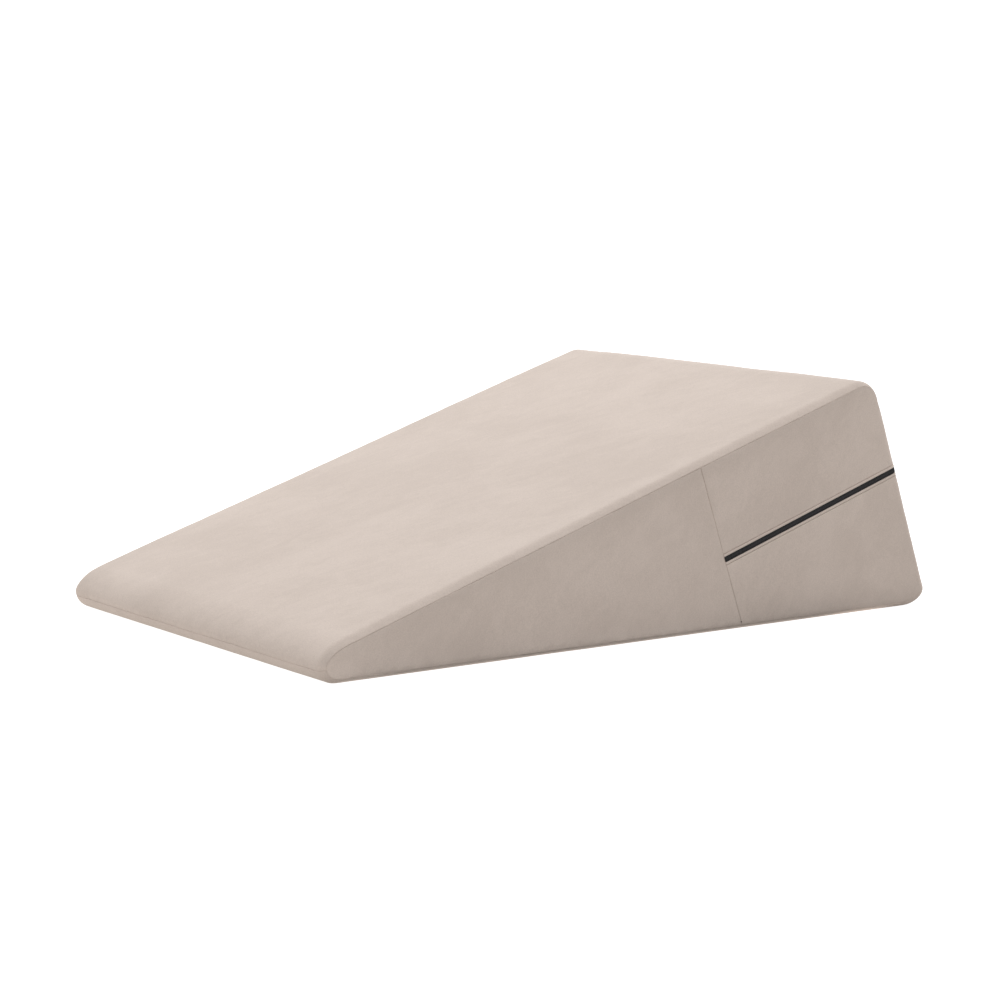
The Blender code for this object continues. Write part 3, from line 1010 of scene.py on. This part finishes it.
def suede_material(colours):
    """Short brushed nap: slow tones, long brush marks on the top, cloudy sides, a fibrous grain, and painted
    shade from the cover's points.
    """
    made, nodes = new_material("suede")
    panel = nodes.add("ShaderNodeAttribute", attribute_name="panel").outputs["Fac"]
    pressed = nodes.add("ShaderNodeAttribute", attribute_name="pressed").outputs["Fac"]
    apart = nodes.value("ShaderNodeCombineXYZ", {"X": panel, "Y": panel, "Z": panel})
    own = nodes.value("ShaderNodeVectorMath", {0: apart, 1: (1.7, 2.3, 1.1), 2: nodes.place()},
                      operation="MULTIPLY_ADD")
    on_side = nodes.calc("GREATER_THAN", panel, RIGHT_GUSSET - 0.5)
    along_top = streaked(nodes, own, (0.0, 0.0, -0.44), (1.0, 3.2, 1.0))
    along_side = streaked(nodes, own, (0.9, 0.0, 0.0), (1.0, 1.7, 1.0))
    brushed = nodes.add("ShaderNodeMix", {"Factor": on_side, 4: along_top, 5: along_side},
                        data_type="VECTOR").outputs[1]
    blotch = noise_of(nodes, own, 5.5, 4.0, 0.5, 0.8)
    stroke = noise_of(nodes, brushed, 42.0, 5.0, 0.62, 1.1)
    fibre = noise_of(nodes, brushed, 210.0, 3.0, 0.6, 0.5)
    grain = noise_of(nodes, own, 620.0, 3.0, 0.7)
    marks = nodes.calc("MULTIPLY_ADD", fibre, 0.45, nodes.calc("MULTIPLY_ADD", stroke, 0.75, blotch))
    ramp = nodes.spread(marks, 0.82, 1.38, interpolation_type="SMOOTHSTEP")
    nap = nodes.add("ShaderNodeMix", {"Factor": ramp, 6: rgba(colours.suede), 7: rgba(colours.nap)},
                    data_type="RGBA").outputs[2]
    # Painted shade: the cover up to 15 % darker where its points carry the painted shade weight
    shaded_nap = toned(nodes, nap, pressed, 1.0, 0.85)
    tinted = toned(nodes, shaded_nap, grain, 0.8, 1.2)
    bump = nodes.bump(nodes.calc("MULTIPLY_ADD", grain, 0.25, stroke), 0.35, 0.0006)
    finish_material(nodes, {"Base Color": tinted, "Normal": bump}, 0.2, Roughness=0.92,
                    Sheen_Weight=0.2, Sheen_Roughness=0.45, Sheen_Tint=(1.0, 0.95, 0.9, 1))
    return made


def thread_material(name, colour):
    """Twisted sewing thread."""
    made, nodes = new_material(name)
    twist = noise_of(nodes, nodes.place(), 2600.0)
    finish_material(nodes, {"Base Color": toned(nodes, colour, twist, 0.8, 1.15),
                            "Normal": nodes.bump(twist, 0.5, 0.0001)}, Roughness=0.7)
    return made


def tape_material(colours):
    """Black tape, woven in fine slanting ribs along its length."""
    made, nodes = new_material("zip_tape")
    weave = nodes.value("ShaderNodeUVMap", uv_map="weave")
    slant = nodes.value("ShaderNodeMapping", {"Vector": weave, "Rotation": (0.0, 0.0, 0.6)})
    ribs = nodes.add("ShaderNodeTexWave", {"Vector": slant, "Scale": 0.55, "Distortion": 0.8,
                                           "Detail Scale": 3.0}).outputs["Fac"]
    finish_material(nodes, {"Base Color": toned(nodes, colours.tape, ribs, 0.7, 1.6),
                            "Normal": nodes.bump(ribs, 0.6, 0.0001)},
                    0.4, Roughness=0.85, Sheen_Weight=0.08)
    return made


def coil_material(colours):
    """Satin nylon of the coil, slightly rubbed."""
    made, nodes = new_material("zip_coil")
    wear = noise_of(nodes, nodes.place(), 160.0, 3.0)
    finish_material(nodes, {"Base Color": toned(nodes, colours.coil, wear, 0.7, 1.5),
                            "Roughness": nodes.spread(wear, 0.0, 1.0, 0.4, 0.6)})
    return made


def metal_material(colours):
    """Dark lacquered metal of the slider and the pull, rubbed unevenly."""
    made, nodes = new_material("dark_metal")
    rub = noise_of(nodes, nodes.place(), 420.0, 4.0, 0.7)
    finish_material(nodes, {"Base Color": toned(nodes, colours.metal, rub, 0.75, 1.5),
                            "Roughness": nodes.spread(rub, 0.0, 1.0, 0.28, 0.45),
                            "Normal": nodes.bump(rub, 0.2, 0.00005)}, Metallic=0.9)
    return made


def plain_material(name, colour, glow):
    """Plain matt surface of the studio, with a little light of its own."""
    made, nodes = new_material(name)
    finish_material(nodes, {"Base Color": rgba(colour)}, 0.0, Roughness=1.0,
                    Emission_Color=(1, 1, 1, 1), Emission_Strength=glow)
    return made


def card_material(colours, stage):
    """Grey card below the pillow: painted shade close to its sides, with light under it and before its nose.
    """
    made, nodes = new_material("bounce_card")
    x, y = nodes.add("ShaderNodeSeparateXYZ", {0: nodes.place()}).outputs[:2]
    back = LENGTH / 2
    front = -back
    right = WIDTH / 2
    back_shade = 0.19
    shade_reach = 0.07
    darkest = 0.05
    beside = nodes.calc("SUBTRACT", nodes.calc("ABSOLUTE", x), right)
    behind = nodes.calc("SUBTRACT", y, back - back_shade)
    shade = nodes.spread(nodes.calc("MAXIMUM", beside, behind), 0.0, shade_reach, darkest)
    tint = nodes.value("ShaderNodeVectorMath", {0: colours.card, "Scale": shade}, operation="SCALE")
    glow = nodes.spread(y, front + 0.06, front - 0.02, 0.0, stage.front_glow)
    leftward = nodes.spread(x, -right, right, 1.14, 0.97)
    rightward = nodes.spread(x, right - 0.03, right + 0.03, 1.0, 0.55)
    near = nodes.spread(y, front - 0.14, front - 0.03, 0.42)
    fading = nodes.calc("MULTIPLY", nodes.calc("MULTIPLY", leftward, near), rightward)
    before = nodes.calc("MULTIPLY_ADD", y, -1.0, front + 0.02)
    after = nodes.calc("SUBTRACT", y, back - 0.06)
    outside = nodes.calc("MAXIMUM", beside, nodes.calc("MAXIMUM", before, after))
    under = nodes.spread(outside, 0.0, -0.01, 0.0, stage.under_glow)
    light = nodes.calc("MAXIMUM", nodes.calc("MULTIPLY", glow, fading), under)
    finish_material(nodes, {"Base Color": tint, "Emission Strength": light}, 0.0,
                    Roughness=1.0, Emission_Color=rgba(colours.bounce))
    return made


def add_piece(name, mesh, material, replaced=None):
    """A finished piece of the pillow, in the frame's single body."""
    made = new_object(name, mesh)
    mesh.materials.clear()
    mesh.materials.append(material)
    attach(made, "root")
    if replaced:
        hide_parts(replaced)
    return made


def settings():
    return bpy.context.scene.wedge_pillow


def set_wedge():
    """The wedge at its present settings."""
    own = settings()
    return Wedge(own.cover, own.zipper)


class WEDGE_OT_cover(bpy.types.Operator):
    """Build the filled cover, with its panels, rolled edges, seams and zip lips."""

    bl_idname = "wedge.cover"
    bl_label = "Cover"

    def execute(self, context):
        suede = suede_material(settings().colours)
        cover = add_piece("cushion_cover", cover_mesh(set_wedge()), suede, "cushion")
        return {"FINISHED"}


class WEDGE_OT_zip(bpy.types.Operator):
    """Build the zip's tape, coil, slider and pull."""

    bl_idname = "wedge.zip"
    bl_label = "Zip"

    def execute(self, context):
        own = settings()
        wedge = set_wedge()
        tape = [(-3.8, -1.0), (-3.1, -0.9), (-1.5, -0.85), (0.0, -0.85), (1.5, -0.85), (3.1, -0.9),
                (3.8, -1.0), (3.8, -1.6), (-3.8, -1.6)]
        add_piece("zip_tape_woven", strip_mesh("zip_tape", wedge, tape, 0.0015, 0.0004),
                  tape_material(own.colours), "zip_tape")
        wire = [(2.9, -0.2), (2.75, 0.2), (1.8, 0.42), (0.3, 0.42), (-0.5, 0.3), (-0.65, 0.0)]
        wire = [Vector((0.12 * y, y, z)) * MM for y, z in wire]
        tooth = tube_mesh("zip_tooth", wire, own.zipper.wire / 2)
        path = trimmed(zip_path(wedge, 0, -0.65 * MM), 0.001, 0.001)
        coil_look = coil_material(own.colours)
        coil = repeated("zip_teeth", [path], tooth, coil_look, own.zipper.tooth_pitch, alternate=math.pi)
        add_piece("zip_teeth", coil, coil_look, "zip_coil")
        metal = metal_material(own.colours)
        add_piece("zip_slider_body", slider_mesh(wedge), metal, "zip_slider")
        add_piece("zip_pull_tab", pull_mesh(wedge), metal, "zip_pull")
        return {"FINISHED"}


class WEDGE_OT_stitches(bpy.types.Operator):
    """Build the top stitching beside the zip, and the tied thread ends of the upright seams."""

    bl_idname = "wedge.stitches"
    bl_label = "Stitches"

    def execute(self, context):
        own = settings()
        sizes = own.zipper
        wedge = set_wedge()
        half = sizes.stitch_length / 2
        dip = sizes.thread * 0.8
        bend = [(-half, -dip), (-0.78 * half, 0), (0, 0.1 * MM), (0.78 * half, 0), (half, -dip)]
        stitch = tube_mesh("stitch", [Vector((x, 0, z)) for x, z in bend], sizes.thread / 2)
        paths = [trimmed(zip_path(wedge, across, -0.8 * MM), 0.002, 0.002)
                 for across in (-sizes.stitch_offset, sizes.stitch_offset)]
        look = thread_material("thread", own.colours.thread)
        stitches = repeated("zip_stitches", paths, stitch, look, sizes.stitch_pitch, jitter=0.07)
        add_piece("zip_stitches", stitches, look)
        knot_look = thread_material("knot_thread", own.colours.knot)
        add_piece("seam_ends", seam_end_mesh(wedge), knot_look)
        return {"FINISHED"}


class WEDGE_OT_stage(bpy.types.Operator):
    """Build the pale floor, the soft light and the camera."""

    bl_idname = "wedge.stage"
    bl_label = "Stage"

    def execute(self, context):
        own = settings()
        scene = context.scene
        scene.view_settings.view_transform = "Standard"
        floor_look = plain_material("studio_floor", own.colours.floor, own.stage.glow)
        floor = self.plane("studio_floor", FLOOR_HEIGHT, floor_look)
        floor.visible_diffuse = False
        floor.visible_glossy = False
        floor.visible_shadow = False
        card = self.plane("bounce_card", CARD_HEIGHT, card_material(own.colours, own.stage))
        card.visible_camera = False
        self.surroundings(scene, own.stage)
        light = bpy.data.lights.new("overhead", "AREA")
        light.shape = "DISK"
        light.size = 1.6
        light.energy = own.stage.overhead
        lamp = new_object("overhead", light)
        lamp.location = own.stage.lamp_place
        lamp.rotation_euler = (Vector((0, 0, 0.1)) - lamp.location).to_track_quat("-Z", "Y").to_euler()
        camera_data = bpy.data.cameras.new("camera")
        camera_data.sensor_width = 36
        camera_data.lens = own.stage.lens
        camera_data.clip_end = 100
        camera = new_object("camera", camera_data)
        camera.location = own.stage.camera_place
        camera.rotation_euler = (math.pi / 2 - own.stage.camera_drop, 0, own.stage.camera_turn)
        scene.camera = camera
        return {"FINISHED"}

    def plane(self, name, height, material):
        mesh = bpy.data.meshes.new(name)
        far = 60.0
        corners = [(-far, -far, height), (far, -far, height), (far, far, height), (-far, far, height)]
        mesh.from_pydata(corners, [], [(0, 1, 2, 3)])
        mesh.materials.append(material)
        made = new_object(name, mesh)
        return made

    def surroundings(self, scene, stage):
        """Pale room, brighter overhead, to the left and at the back, and white at the horizon."""
        world = bpy.data.worlds.new("studio")
        world.use_nodes = True
        nodes = NodeTree(world.node_tree)
        way = nodes.add("ShaderNodeTexCoord").outputs["Generated"]
        x, y, z = nodes.add("ShaderNodeSeparateXYZ", {0: way}).outputs
        rise = nodes.spread(z, 0.1, 0.9, stage.walls, stage.ceiling)
        sided = nodes.calc("MULTIPLY_ADD", x, -stage.left_share, rise)
        deep = nodes.calc("MULTIPLY_ADD", y, stage.back_share, sided)
        low = nodes.spread(z, 0.17, 0.2, 1.02, 0.0)
        strength = nodes.calc("MAXIMUM", deep, low)
        back = nodes.value("ShaderNodeBackground", {"Color": (1, 1, 1, 1), "Strength": strength})
        nodes.add("ShaderNodeOutputWorld", {"Surface": back})
        scene.world = world


class WedgePillow(bpy.types.PropertyGroup):
    """All settings of the pillow and its studio."""

    cover: PointerProperty(type=CoverSizes)
    zipper: PointerProperty(type=ZipSizes)
    colours: PointerProperty(type=Colours)
    stage: PointerProperty(type=StageSizes)


OPERATORS = (WEDGE_OT_cover, WEDGE_OT_zip, WEDGE_OT_stitches, WEDGE_OT_stage)


class WEDGE_PT_pillow(bpy.types.Panel):
    """Settings and pieces of the wedge pillow."""

    bl_label = "Wedge pillow"
    bl_space_type = "VIEW_3D"
    bl_region_type = "UI"
    bl_category = "Wedge pillow"

    def draw(self, context):
        for operator in OPERATORS:
            self.layout.operator(operator.bl_idname)
        for name in ("cover", "zipper", "colours", "stage"):
            group = getattr(settings(), name)
            box = self.layout.box()
            box.label(text=name.capitalize())
            for key in group.__annotations__:
                box.prop(group, key)


CLASSES = (CoverSizes, ZipSizes, Colours, StageSizes, WedgePillow, *OPERATORS, WEDGE_PT_pillow)


def register():
    for cls in CLASSES:
        bpy.utils.register_class(cls)
    bpy.types.Scene.wedge_pillow = PointerProperty(type=WedgePillow)


def unregister():
    del bpy.types.Scene.wedge_pillow
    for cls in reversed(CLASSES):
        bpy.utils.unregister_class(cls)


def main():
    register()
    for operator in OPERATORS:
        group, name = operator.bl_idname.split(".")
        getattr(getattr(bpy.ops, group), name)()


if __name__ == "__main__":
    main()
